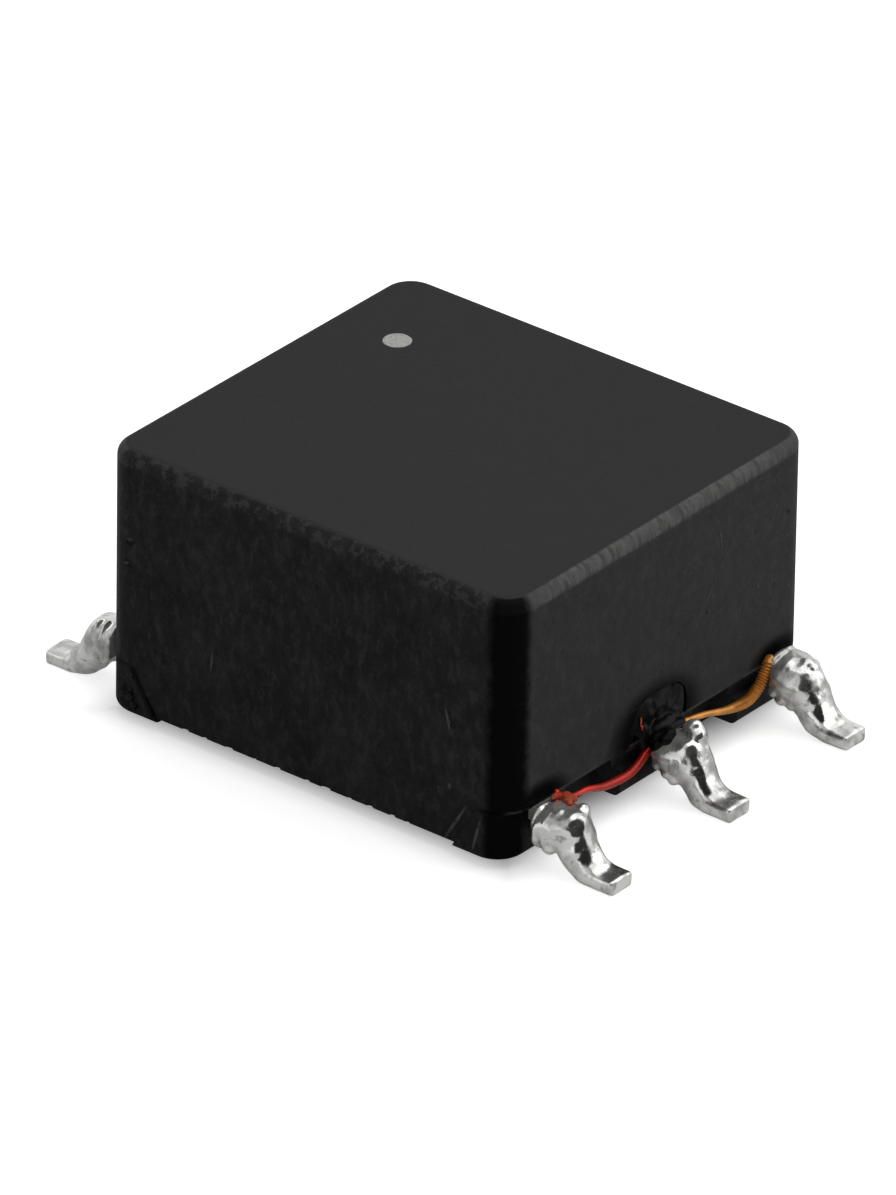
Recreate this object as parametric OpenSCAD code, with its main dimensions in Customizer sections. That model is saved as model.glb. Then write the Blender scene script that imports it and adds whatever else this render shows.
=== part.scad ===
// Small surface-mount transformer: a wound ferrite ring in a moulded housing with six gull-wing terminals.
// Millimetres, +Z up. The origin is on the board, under the middle of the housing.
// Terminals 1 to 3 leave the -X end wall from +Y to -Y, and 4 to 6 leave the +X end wall from -Y to +Y.

/* [Housing] */
// Length of the housing between the two end walls that carry the terminals
body_x = 7; // [6.7:0.1:7.6]
// Width of the housing along a row of terminals
body_y = 6.45; // [6.35:0.05:6.9]
// Height of the flat top above the board
height = 4.08; // [3.9:0.02:4.6]
// Thickness of the two end walls
end_wall = 0.6; // [0.5:0.05:0.7]
// Thickness of the two plain side walls
side_wall = 0.45; // [0.35:0.05:0.55]
// Thickness of the top wall
top_wall = 0.55; // [0.4:0.05:0.7]
// Radius of the upright corners
corner_r = 0.45; // [0.35:0.05:0.6]
// Radius of the edge round the top
top_edge_r = 0.18; // [0.1:0.02:0.26]
// Radius of the cavity's upright corners
cavity_r = 0.3; // [0.2:0.05:0.4]
// Height above the board at which the two halves of the mould meet
parting_z = 0.85; // [0.8:0.05:1]
// Height of the side walls' lower rims above the board
rim_z = 0.2; // [0.16:0.02:0.3]

/* [Feet and blocks] */
// Height above the board of the undersides of the corner feet and terminal blocks
foot_z = 0.12; // [0.08:0.02:0.14]
// Radius of the lower outer edge of the feet and blocks
foot_edge_r = 0.12; // [0.08:0.02:0.16]
// Width of a corner foot at its underside
foot_w = 0.9; // [0.8:0.05:1.1]
// Width that a corner foot loses on its sloping side up to the parting line
foot_slope = 0.44; // [0.3:0.02:0.5]
// Distance that a corner foot stands out of its side wall
foot_proud = 0.06; // [0.04:0.01:0.1]
// Distance that the blocks lie back from the end wall above them
block_step = 0.05; // [0.03:0.01:0.08]
// Width of the block under a terminal
block_w = 1.54; // [1.3:0.02:1.7]
// Width of the open joint beside two of the feet
joint_w = 0.06; // [0.04:0.01:0.08]
// Depth of that joint
joint_d = 0.16; // [0.1:0.02:0.2]
// Height of the groove across the blocks, in which the wires lie
groove_h = 0.33; // [0.25:0.02:0.4]
// Depth of that groove
groove_d = 0.16; // [0.1:0.02:0.2]

/* [Wire slots] */
// Width of the slot over a middle terminal
slot_w = 1.16; // [1:0.02:1.4]
// Height of the slot above the parting line
slot_h = 0.6; // [0.5:0.02:0.7]
// Radius of the slot's upper corners
slot_r = 0.34; // [0.2:0.02:0.4]

/* [Terminals] */
// Distance between neighbouring terminals
pitch = 2.54; // [2.5:0.02:2.6]
// Width of a terminal's strip
lead_w = 0.42; // [0.36:0.02:0.48]
// Thickness of a terminal's strip
lead_t = 0.2; // [0.16:0.01:0.22]
// Length of the straight stub outside the end wall
stub_l = 0.45; // [0.4:0.05:0.6]
// Length of the flat foot that is soldered to the board
foot_l = 0.38; // [0.3:0.02:0.6]
// Radius of the strip's middle line at both bends
bend_r = 0.2; // [0.19:0.01:0.24]
// Angle of the leg below the horizontal
leg_angle = 65; // [55:1:75]
// Length of the strip held in the end wall
anchor_l = 0.42; // [0.3:0.02:0.46]
// Length of the wide head that locks the strip in the end wall
anchor_head_l = 0.16; // [0.1:0.02:0.24]
// Width of that head
anchor_head_w = 0.7; // [0.55:0.05:0.9]

/* [Core] */
// Bore of the ferrite ring
core_id = 2.29; // [2.2:0.05:2.5]
// Radius of the ring's four edges
core_edge_r = 0.16; // [0.1:0.02:0.24]
// Space between the winding and the side walls
coil_side_gap = 0.21; // [0.1:0.01:0.3]
// Height of the winding's underside above the board
coil_floor_z = 0.8; // [0.7:0.05:1]
// Thickness of the adhesive between the winding and the top wall
adhesive_t = 0.15; // [0.1:0.01:0.25]
// Diameter of the adhesive dab
adhesive_d = 3.6; // [3:0.1:4]
// Depth of the adhesive plug in the bore, below the top of the ring
plug_l = 0.9; // [0.5:0.1:1.5]

/* [Windings] */
// Diameter of the enamelled wire
wire_d = 0.11; // [0.09:0.01:0.12]
// Turns in each half winding
turns = 9; // [5:1:10]
// Angle round the ring from the middle of a terminal row to a winding's first turn
coil_start = 11; // [9:1:14]
// Angle round the ring from the middle of a terminal row to a winding's last turn
coil_end = 82; // [78:1:84]
// Clear space between the wire and the faces that it is bent round
wire_gap = 0.02; // [0.02:0.005:0.03]
// Turns of wire round an outer terminal
end_wraps = 2.75; // [1.75:1:2.75]
// Flat sides of the wire in the model
wire_sides = 6; // [6:1:8]

/* [Solder] */
// Thickness of the solder over the corners of the wrapped wire
solder_t = 0.05; // [0.04:0.01:0.08]
// Distance of the solder from the end wall
solder_gap = 0.13; // [0.12:0.01:0.16]
// Length of the solder round the stub
solder_l = 0.66; // [0.6:0.02:0.8]
// Thickness of the tinned coat on the leg and foot
coat_t = 0.035; // [0.02:0.005:0.05]

/* [Hidden] */
$fn = 48;
eps = 0.02;            // overshoot of cutting tools
fit_gap = 0.01;        // space between solder and wrapped wire

// Housing
cavity_x = body_x - 2 * end_wall;
cavity_y = body_y - 2 * side_wall;
ceiling_z = height - top_wall;
block_face_x = body_x / 2 - block_step;
foot_face_y = body_y / 2 + foot_proud;
groove_l = 2 * pitch + lead_w;

// Terminals
stub_z = parting_z - lead_t / 2;
foot_mid_z = lead_t / 2;
bend_x = body_x / 2 + stub_l;
bend_dx = bend_r * sin(leg_angle);
bend_dz = bend_r * (1 - cos(leg_angle));
leg_dz = stub_z - foot_mid_z - 2 * bend_dz;
foot_x = bend_x + 2 * bend_dx + leg_dz / tan(leg_angle);
bend_steps = [for (i = [0 : 8]) leg_angle * i / 8];

// Core and windings
wire_r = wire_d / 2;
lay = wire_r + wire_gap;                   // wire's middle line above the face that it lies on
core_od = cavity_y - 2 * (coil_side_gap + wire_d + wire_gap);
core_bottom_z = coil_floor_z + wire_d + wire_gap;
core_top_z = ceiling_z - adhesive_t - wire_d - wire_gap;
wrap_pitch = 1.06 * wire_d;
wrap_x = body_x / 2 + lay;                 // first wrap, just clear of the end wall
tap_x = wrap_x + wrap_pitch;               // first wrap on a middle terminal, clear of the wires beside it
tap_turns = 19 / 6;                        // wraps on a middle terminal, with the room inside the first
run_y = lead_w / 2 + lay + wire_gap;       // wires to the outer terminals, past the middle one
tap_y = 0.12 * slot_w;                     // wires to the middle terminal, from the slot's middle
return_r = core_od / 2 - 2 * core_edge_r;  // way back under the winding

// Adhesive plug and solder
plug_d = core_id - 2 * (wire_d + 2 * wire_gap);
plug_edge_r = plug_d / 4;
solder_x = body_x / 2 + solder_gap;
pocket_r = lay + wire_r + fit_gap;
pocket_l = wrap_x + wrap_pitch * max(end_wraps, tap_turns) + wire_r + fit_gap - solder_x;
solder_r = norm([lead_w, lead_t]) / 2 + pocket_r + solder_t;
beads = 3;
bead_r = solder_l / beads / 2;

colour_a = [0.80, 0.16, 0.10];
colour_b = [0.78, 0.46, 0.16];
colour_c = [0.62, 0.30, 0.12];
colour_d = [0.20, 0.26, 0.10];

// ---------- shared shapes ----------

// Rounded rectangle, centred
module plate(x, y, r) {
    square([x - 2 * r, y], center = true);
    square([x, y - 2 * r], center = true);
    for (sx = [-1, 1], sy = [-1, 1]) translate([sx * (x / 2 - r), sy * (y / 2 - r)]) circle(r);
}

// Block with upright corners of radius r and its upper edge rounded to radius e
module moulded_block(x, y, h, r, e) {
    linear_extrude(h - e) plate(x, y, r);
    linear_extrude(h) plate(x - 2 * e, y - 2 * e, r - e);
    translate([0, 0, h - e]) {
        for (s = [0, 180]) rotate(s) {
            translate([0, y / 2 - e]) edge_bar(x - 2 * r, e);
            rotate(90) translate([0, x / 2 - e]) edge_bar(y - 2 * r, e);
        }
        for (q = [[1, 1, 0], [-1, 1, 90], [-1, -1, 180], [1, -1, 270]])
            translate([q[0] * (x / 2 - r), q[1] * (y / 2 - r)]) rotate(q[2])
                rotate_extrude(angle = 90) translate([r - e, 0]) quarter_disc(e);
    }
}

// Quarter-round bar along X, its round side facing +Y and up
module edge_bar(l, e) {
    translate([-l / 2, 0, 0]) rotate([90, 0, 90]) linear_extrude(l) quarter_disc(e);
}

module quarter_disc(r) {
    intersection() {
        circle(r);
        square(r);
    }
}

// Turns its children to one end wall and along to the given terminal
module at_terminal(i) {
    rotate(i < 4 ? 180 : 0) translate([0, ((i - 1) % 3 - 1) * pitch, 0]) children();
}

// Places its children at both ends, half a turn apart
module both_ends() {
    for (a = [0, 180]) rotate(a) children();
}

// ---------- housing ----------

module housing() {
    color([0.13, 0.13, 0.14]) difference() {
        union() {
            translate([0, 0, parting_z])
                moulded_block(body_x, body_y, height - parting_z, corner_r, top_edge_r);
            lower_moulding();
            side_skirts();
        }
        translate([0, 0, -eps]) linear_extrude(ceiling_z + eps) plate(cavity_x, cavity_y, cavity_r);
        both_ends() {
            wire_slot();
            wire_groove();
            foot_joint();
        }
        for (i = [1 : 6]) at_terminal(i) anchor();
    }
}

// Corner feet and terminal blocks, as one ring with gaps cut in it
module lower_moulding() {
    difference() {
        translate([0, 0, parting_z]) mirror([0, 0, 1])
            moulded_block(2 * block_face_x, 2 * foot_face_y, parting_z - foot_z, corner_r, foot_edge_r);
        for (s = [0, 180]) rotate(s)
            between_feet(foot_z - eps, parting_z + eps, cavity_y / 2, foot_face_y + eps);
        for (s = [-1, 1], g = [-0.5, 0.5])
            translate([s * body_x / 2, g * pitch, parting_z / 2])
                cube([3 * end_wall, pitch - block_w, parting_z + 2 * eps], center = true);
    }
}

// Half the distance between the sloping sides of two corner feet at height z
function between_feet_x(z) = block_face_x - foot_w + foot_slope * (z - foot_z) / (parting_z - foot_z);

// Room between two corner feet, from height z0 to z1 and from y0 to y1
module between_feet(z0, z1, y0, y1) {
    translate([0, y1, 0]) rotate([90, 0, 0]) linear_extrude(y1 - y0)
        polygon([[-between_feet_x(z0), z0], [between_feet_x(z0), z0],
                 [between_feet_x(z1), z1], [-between_feet_x(z1), z1]]);
}

// Side walls below the parting line, between the feet
module side_skirts() {
    for (s = [0, 180]) rotate(s)
        between_feet(rim_z, parting_z, cavity_y / 2 - eps, body_y / 2);
}

// Slot in the +X end wall through which the wires leave the cavity
module wire_slot() {
    translate([cavity_x / 2 - eps, 0, parting_z]) rotate([90, 0, 90]) linear_extrude(end_wall + 2 * eps)
        intersection() {
            plate(slot_w, 2 * slot_h, slot_r);
            translate([-slot_w / 2, 0]) square([slot_w, slot_h]);
        }
}

// Groove across the +X blocks, under the end wall, from one outer terminal to the other
module wire_groove() {
    translate([block_face_x - groove_d, -groove_l / 2, parting_z - groove_h])
        cube([groove_d + block_step, groove_l, groove_h]);
}

// Open joint between the +Y side wall and the sloping side of its +X foot
module foot_joint() {
    z0 = rim_z - eps;
    translate([0, foot_face_y + eps, 0]) rotate([90, 0, 0])
        linear_extrude(foot_face_y + eps - body_y / 2 + joint_d)
            polygon([[between_feet_x(z0) - joint_w, z0], [between_feet_x(z0), z0],
                     [between_feet_x(parting_z), parting_z],
                     [between_feet_x(parting_z) - joint_w / 3, parting_z]]);
}

// ---------- terminals ----------

module terminal(i) {
    color([0.80, 0.80, 0.80]) at_terminal(i) {
        anchor();
        strip(lead_w, lead_t / 2, lead_t / 2, body_x / 2);
    }
}

// The part of a terminal that is moulded into the end wall
module anchor() {
    translate([body_x / 2 - anchor_l, 0, stub_z - lead_t / 2]) {
        translate([0, -lead_w / 2, 0]) cube([anchor_l, lead_w, lead_t]);
        translate([0, -anchor_head_w / 2, 0]) cube([anchor_head_l, anchor_head_w, lead_t]);
    }
}

// Gull-wing strip from x0 outwards, w wide, reaching up and down from the terminal's middle line
module strip(w, up, down, x0) {
    rotate([90, 0, 0]) linear_extrude(w, center = true)
        polygon(concat(strip_edge(up, x0), [for (i = [len(bend_steps) * 2 + 1 : -1 : 0]) strip_edge(-down, x0)[i]]));
}

// One edge of the strip's side view, at distance d above the middle line
function strip_edge(d, x0) = concat(
    [[x0, stub_z + d]],
    [for (a = bend_steps) [bend_x + (bend_r + d) * sin(a), stub_z - bend_r + (bend_r + d) * cos(a)]],
    [for (a = bend_steps) let (b = leg_angle - a)
        [foot_x - (bend_r - d) * sin(b), foot_mid_z + bend_r - (bend_r - d) * cos(b)]],
    [[foot_x + foot_l, foot_mid_z + d]]);

// ---------- solder ----------

module solder(i) {
    color([0.88, 0.88, 0.87]) at_terminal(i) difference() {
        union() {
            translate([solder_x, 0, stub_z]) rotate([0, 90, 0]) rotate_extrude() bead_profile();
            strip(lead_w + 2 * coat_t, lead_t / 2 + coat_t, lead_t / 2 + coat_t, solder_x + bead_r);
        }
        strip(lead_w, lead_t / 2, lead_t / 2, solder_x - eps);
        wrap_pocket();
        translate([solder_x, -lead_w, -lead_t]) cube([2 * foot_x, 2 * lead_w, lead_t]);
    }
}

// Half section of the solder round a stub, with a ridge over each wrap of wire
module bead_profile() {
    translate([0, bead_r]) square([solder_r - solder_t / 2, solder_l - 2 * bead_r]);
    square([solder_r - bead_r, solder_l]);
    for (k = [0 : beads - 1]) translate([solder_r - bead_r, (2 * k + 1) * bead_r]) circle(bead_r);
}

// Room for the wrapped wire inside the solder, open towards the housing
module wrap_pocket() {
    translate([solder_x - eps, 0, stub_z]) rotate([90, 0, 90]) linear_extrude(pocket_l + eps)
        plate(lead_w + 2 * pocket_r, lead_t + 2 * pocket_r, pocket_r);
}

// ---------- core ----------

module core() {
    color([0.24, 0.24, 0.25]) rotate_extrude()
        translate([(core_od + core_id) / 4, (core_top_z + core_bottom_z) / 2])
            plate((core_od - core_id) / 2, core_top_z - core_bottom_z, core_edge_r);
}

// Adhesive between the winding and the top wall, with a plug in the bore of the ring
module adhesive() {
    color([0.86, 0.85, 0.80]) rotate_extrude() {
        translate([0, ceiling_z - adhesive_t]) square([adhesive_d / 2, adhesive_t]);
        translate([0, core_top_z - plug_l + plug_edge_r])
            square([plug_d / 2, ceiling_z - core_top_z + plug_l - plug_edge_r]);
        translate([0, core_top_z - plug_l]) square([plug_d / 2 - plug_edge_r, plug_edge_r]);
        translate([plug_d / 2 - plug_edge_r, core_top_z - plug_l + plug_edge_r]) circle(plug_edge_r);
    }
}

// ---------- windings ----------

// Point k of the 12 that go round a rectangle with half sizes hx and hy and corners of radius r
function round_corner(hx, hy, r, k) =
    let (c = floor(k / 3) % 4, a = 90 * c + 45 * (k % 3))
    [(c == 0 || c == 3 ? hx : -hx) + r * cos(a), (c < 2 ? hy : -hy) + r * sin(a)];

// n steps of wire round the stub at y0, from step k0 at x0 outwards, one pitch a turn
function wraps(side, y0, x0, turn, k0, n) =
    [for (k = [k0 : k0 + n]) let (p = round_corner(lead_w / 2, lead_t / 2, lay, k))
        [x0 + turn * (k - k0) / 12, y0 - side * p[0], stub_z + p[1]]];

// Half winding on the ring, from the outer side near the end wall, round towards the side wall
function coil(side) =
    let (hr = (core_od - core_id) / 4 - core_edge_r, hz = (core_top_z - core_bottom_z) / 2 - core_edge_r)
    [for (k = [0 : 12 * turns - 2])
        let (p = round_corner(hr, hz, core_edge_r + lay, k + 11),
             a = coil_start + (coil_end - coil_start) * k / (12 * turns),
             r = (core_od + core_id) / 4 + p[0])
        [r * cos(a), side * r * sin(a), (core_top_z + core_bottom_z) / 2 + p[1]]];

// Wire along the end wall from an outer terminal to the slot, and in to the ring. Each pair is the
// share of the way from the slot to the terminal, and the wire's depth below the parting line.
sag_a = [[0.96, 0.06], [0.81, 0.15], [0.67, 0.19], [0.51, 0.30], [0.34, 0.36], [0.18, 0.39], [0.07, 0.35],
         [0, 0.24]];
sag_b = [[0.93, 0.18], [0.81, 0.33], [0.67, 0.33], [0.53, 0.28], [0.34, 0.17], [0.15, 0.10], [0.02, 0.06]];
function lead_in(side, sag) = concat(
    [for (s = sag) [wrap_x - wire_r * (1 - s[0]),
                    side * (run_y + s[0] * (pitch - lead_w / 2 - lay - run_y)), parting_z - s[1]]],
    [[body_x / 2, side * run_y, parting_z + wire_d + lay],
     [(cavity_x + end_wall) / 2, side * run_y, parting_z + 3 * wire_d],
     [cavity_x / 2, side * run_y, parting_z + 3 * wire_d],
     [(cavity_x + core_od) / 4 + wire_d, side * 1.08 * run_y, core_bottom_z + wire_d]]);

// Wire from the last turn back under the winding to the slot, and out to the middle terminal
function lead_out(side) = concat(
    [for (a = [coil_end - 2 : -12 : coil_start + 6])
        [return_r * cos(a), side * return_r * sin(a), coil_floor_z - lay]],
    [[cavity_x / 2 - 2 * wire_d, side * (tap_y + wire_d), coil_floor_z + wire_r],
     [cavity_x / 2 + wire_d, side * tap_y, parting_z + lay],
     [block_face_x - wire_d, side * tap_y, parting_z + lay]]);

// Smooth curve through the points p, with n steps between neighbours
function smooth(p, n) = concat(
    [for (i = [0 : len(p) - 2], k = [0 : n - 1])
        let (a = p[max(i - 1, 0)], b = p[i], c = p[i + 1], d = p[min(i + 2, len(p) - 1)], t = k / n)
        b + (t / 2) * ((c - a) + t * ((2 * a - 5 * b + 4 * c - d) + t * (3 * b - a - 3 * c + d)))],
    [p[len(p) - 1]]);

function unit(v) = v / norm(v);
function tangent(p, i) = unit(p[min(i + 1, len(p) - 1)] - p[max(i - 1, 0)]);
function across(u, t) = unit(u - (u * t) * t);

// Whole middle line of a half winding: outer wraps, lead-in, turns, lead-out and tap wraps
function winding_path(side, sag, tap_x, k0, n) =
    let (outer = wraps(side, side * pitch, wrap_x, wrap_pitch, 1, 12 * end_wraps),
         tap = wraps(-1, 0, tap_x, 2 * wrap_pitch, k0, n))
    concat([for (i = [len(outer) - 1 : -1 : 1]) outer[i]],
           smooth(concat([outer[0]], lead_in(side, sag)), 2),
           coil(side),
           smooth(concat(lead_out(side), [tap[0]]), 2),
           [for (i = [1 : len(tap) - 1]) tap[i]]);

// Round wire along the path p, with rings that turn as little as they can
module wire(p) {
    n = len(p);
    sides = [for (i = 0, t = tangent(p, 0), u = across([0, 0.6, 0.8], t); i < n;
                  i = i + 1, t = tangent(p, min(i, n - 1)), u = across(u, t)) [u, cross(t, u)]];
    rings = [for (i = [0 : n - 1], s = [0 : wire_sides - 1]) let (a = 360 * s / wire_sides)
        p[i] + wire_r * (cos(a) * sides[i][0] + sin(a) * sides[i][1])];
    start = [for (s = [0 : wire_sides - 1]) s];
    end = [for (s = [wire_sides - 1 : -1 : 0]) (n - 1) * wire_sides + s];
    skin = [for (i = [0 : n - 2], s = [0 : wire_sides - 1])
        let (a = i * wire_sides + s, b = i * wire_sides + (s + 1) % wire_sides)
        each [[a, b + wire_sides, b], [a, a + wire_sides, b + wire_sides]]];
    polyhedron(rings, concat([start, end], skin));
}

// The two wires on a middle terminal start at neighbouring corners of the strip and lie one pitch apart
module winding_a() {
    wire(winding_path(-1, sag_a, tap_x, 3, 12));
}

module winding_b() {
    wire(winding_path(1, sag_b, tap_x + 5 / 6 * wrap_pitch, 2, 8));
}

module primary_winding_a() { color(colour_c) rotate(180) winding_a(); }
module primary_winding_b() { color(colour_d) rotate(180) winding_b(); }
module secondary_winding_a() { color(colour_a) winding_a(); }
module secondary_winding_b() { color(colour_b) winding_b(); }

housing();
core();
adhesive();
primary_winding_a();
primary_winding_b();
secondary_winding_a();
secondary_winding_b();
terminal(1);  // terminal_1
terminal(2);  // terminal_2
terminal(3);  // terminal_3
terminal(4);  // terminal_4
terminal(5);  // terminal_5
terminal(6);  // terminal_6
solder(1);  // solder_1
solder(2);  // solder_2
solder(3);  // solder_3
solder(4);  // solder_4
solder(5);  // solder_5
solder(6);  // solder_6
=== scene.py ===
from math import atan2, cos, pi, radians, sin

import bmesh
import bpy
from bpy.props import FloatProperty, FloatVectorProperty, PointerProperty
from mathutils import Matrix, Vector, noise


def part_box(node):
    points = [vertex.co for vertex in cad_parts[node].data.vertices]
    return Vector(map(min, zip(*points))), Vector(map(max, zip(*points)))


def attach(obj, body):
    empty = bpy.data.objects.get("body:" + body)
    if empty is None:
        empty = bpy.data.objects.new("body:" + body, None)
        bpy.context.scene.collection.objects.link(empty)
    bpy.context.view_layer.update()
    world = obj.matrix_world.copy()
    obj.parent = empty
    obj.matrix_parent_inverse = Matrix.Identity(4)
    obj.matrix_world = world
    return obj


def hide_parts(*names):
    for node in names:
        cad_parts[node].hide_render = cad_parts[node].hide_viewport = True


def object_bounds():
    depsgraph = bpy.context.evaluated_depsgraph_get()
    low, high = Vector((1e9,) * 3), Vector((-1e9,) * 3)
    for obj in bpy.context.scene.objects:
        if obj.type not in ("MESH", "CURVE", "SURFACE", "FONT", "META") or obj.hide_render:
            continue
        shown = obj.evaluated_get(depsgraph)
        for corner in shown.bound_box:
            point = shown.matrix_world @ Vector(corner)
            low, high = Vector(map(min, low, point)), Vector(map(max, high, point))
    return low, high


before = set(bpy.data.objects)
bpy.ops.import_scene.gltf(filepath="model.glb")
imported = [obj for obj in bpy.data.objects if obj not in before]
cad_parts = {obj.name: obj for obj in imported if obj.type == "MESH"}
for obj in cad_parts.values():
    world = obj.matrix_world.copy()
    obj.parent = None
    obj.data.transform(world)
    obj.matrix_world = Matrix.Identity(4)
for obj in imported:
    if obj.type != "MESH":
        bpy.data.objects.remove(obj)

bl_info = {
    "name": "Board Transformer",
    "version": (1, 0, 0),
    "blender": (4, 5, 0),
    "location": "View3D > Sidebar > Transformer",
    "description": "Dresses a small six-terminal board transformer: moulding, ring core, windings, terminals",
    "category": "Object",
}

CAD_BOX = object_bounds()

# Pieces are modelled in millimetres and brought into the frame, in metres, when they are finished.
MM = 0.001
BODY = "root"


def corners(node):
    """Lowest and highest corner of a node's solid, in millimetres."""
    low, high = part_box(node)
    return [v / MM for v in low], [v / MM for v in high]


HOUSING_HIGH = corners("housing")[1]
CORE_LOW, CORE_HIGH = corners("core")
STRIP_LOW, STRIP_HIGH = corners("terminal_6")
ALL_HIGH = [v / MM for v in CAD_BOX[1]]

WALL_X = HOUSING_HIGH[0]  # outer face of an end wall
HEIGHT = HOUSING_HIGH[2]
PITCH = (STRIP_LOW[1] + STRIP_HIGH[1]) / 2  # between neighbouring terminals
CORE_OD = CORE_HIGH[0] - CORE_LOW[0]

# Sizes that the frame doesn't give: the ring's, the moulding's, the strips' and the windings'
CORE_ID = 2.29
CORE_EDGE = 0.16  # radius of the ring's rounded edges
END_WALL = 0.6
CORNER_R = 0.45  # radius of the moulding's upright corners
BLOCK_STEP = 0.05  # how far the blocks stand back from the end wall
PARTING_Z = 0.85  # where the walls end and the blocks and feet begin
SLOT_W = 1.16
FOOT_PROUD = 0.06  # how far the feet stand out from the side walls
SIDE_Y = HOUSING_HIGH[1] - FOOT_PROUD  # outer face of a side wall
LEAD_W = 0.42
LEAD_T = 0.2
STUB_Z = PARTING_Z - LEAD_T / 2  # middle height of the strips where they leave the wall
COIL_FLOOR = 0.8  # height of the wires' return below the ring
TURNS = 9
TURN_POINTS = 12  # points on one turn, three to a corner
COIL_START, COIL_END = 11, 82  # where a half winding lies on the ring, in degrees
WIRE_GAP = 0.02  # between a wire and what it is wound on

# Which row and place each terminal has: side of the body along X, and place along Y
TERMINALS = {1: (-1, 1), 2: (-1, 0), 3: (-1, -1), 4: (1, -1), 5: (1, 0), 6: (1, 1)}


# ---------- settings that a user would change ----------

def colour(name, about, default):
    return FloatVectorProperty(name=name, description=about, default=default, subtype="COLOR", min=0, max=1)


def length(name, about, default, low=0.0):
    """A size or place in millimetres that is shown in the scene's own unit."""
    return FloatProperty(name=name, description=about, default=default * MM, min=low, unit="LENGTH",
                         precision=5)


class HousingSettings(bpy.types.PropertyGroup):
    top: colour("Top", "Colour of the smooth top face", (0.0415, 0.0415, 0.042))
    sides: colour("Sides", "Colour of the moulded sides", (0.0215, 0.0215, 0.022))
    # Also the colour of painted light: the end walls painted lighter, and the painted highlight along their
    # lower edge
    wear_and_painted_light: colour("Worn", "Colour where the edges are rubbed", (0.060, 0.060, 0.059))
    dot: colour("Dot", "Colour of the orientation dot", (0.53, 0.53, 0.51))
    dot_d: length("Dot diameter", "Diameter of the orientation dot", 0.40)
    dot_x: length("Dot X", "Place of the dot along the body", -2.32, low=-1.0)
    dot_y: length("Dot Y", "Place of the dot across the body", 1.57, low=-1.0)
    pit: length("Pit", "Usual size of a pit in the moulded sides", 0.07)


class TerminalSettings(bpy.types.PropertyGroup):
    tin: colour("Solder", "Colour of the bright solder", (0.68, 0.68, 0.66))
    barrel: length("Barrel", "Half width of the solder round the wrapped stub", 0.385)
    foot: length("Foot", "Half width of the tinned foot", 0.25)
    lumps: length("Lumps", "Height of the lumps in the solder", 0.034)


class WireSettings(bpy.types.PropertyGroup):
    diameter: length("Diameter", "Diameter of the enamelled wire", 0.11)
    red: colour("Red", "Enamel of the first half winding on the right", (0.62, 0.020, 0.006))
    copper: colour("Copper", "Enamel of the second half winding on the right", (0.78, 0.32, 0.050))
    brown: colour("Brown", "Enamel of the first half winding on the left", (0.40, 0.14, 0.045))
    green: colour("Green", "Enamel of the second half winding on the left", (0.055, 0.075, 0.018))
    rib: length("Rib", "Spacing of the fine ribs round a served lead", 0.042)


class CoreSettings(bpy.types.PropertyGroup):
    ferrite: colour("Ferrite", "Colour of the ring", (0.045, 0.045, 0.047))
    silicone: colour("Silicone", "Colour of the adhesive", (0.60, 0.58, 0.51))


class StageSettings(bpy.types.PropertyGroup):
    floor: colour("Floor", "Colour of the floor", (0.80, 0.80, 0.80))
    floor_w: length("Floor width", "Width of the floor", 900)
    light: FloatProperty(name="Light", description="Strength of the lamps", default=1.0, min=0)


class TransformerSettings(bpy.types.PropertyGroup):
    housing: PointerProperty(type=HousingSettings)
    terminals: PointerProperty(type=TerminalSettings)
    wires: PointerProperty(type=WireSettings)
    core: PointerProperty(type=CoreSettings)
    stage: PointerProperty(type=StageSettings)


def settings():
    return bpy.context.scene.transformer


# ---------- shader arithmetic ----------

class Socket:
    """An output of a shader node that can be used in plain arithmetic."""

    def __init__(self, recipe, out):
        self.recipe, self.out = recipe, out

    def maths(self, operation, *values):
        return self.recipe.node("ShaderNodeMath", {"operation": operation}, dict(enumerate(values)))

    def __add__(self, other): return self.maths("ADD", self, other)
    def __radd__(self, other): return self.maths("ADD", other, self)
    def __sub__(self, other): return self.maths("SUBTRACT", self, other)
    def __rsub__(self, other): return self.maths("SUBTRACT", other, self)
    def __mul__(self, other): return self.maths("MULTIPLY", self, other)
    def __rmul__(self, other): return self.maths("MULTIPLY", other, self)
    def __truediv__(self, other): return self.maths("DIVIDE", self, other)
    def __abs__(self): return self.maths("ABSOLUTE", self)
    def __pow__(self, other): return self.maths("POWER", self, other)

    def least(self, other): return self.maths("MINIMUM", self, other)
    def most(self, other): return self.maths("MAXIMUM", self, other)

    def step(self, low, high):
        """0 below low and 1 above high, with a smooth rise between; the other way round if high is less."""
        a, b, start, end = (low, high, 0, 1) if low < high else (high, low, 1, 0)
        return self.recipe.node("ShaderNodeMapRange", {"interpolation_type": "SMOOTHSTEP"},
                                {"Value": self, "From Min": a, "From Max": b, "To Min": start, "To Max": end})


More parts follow.
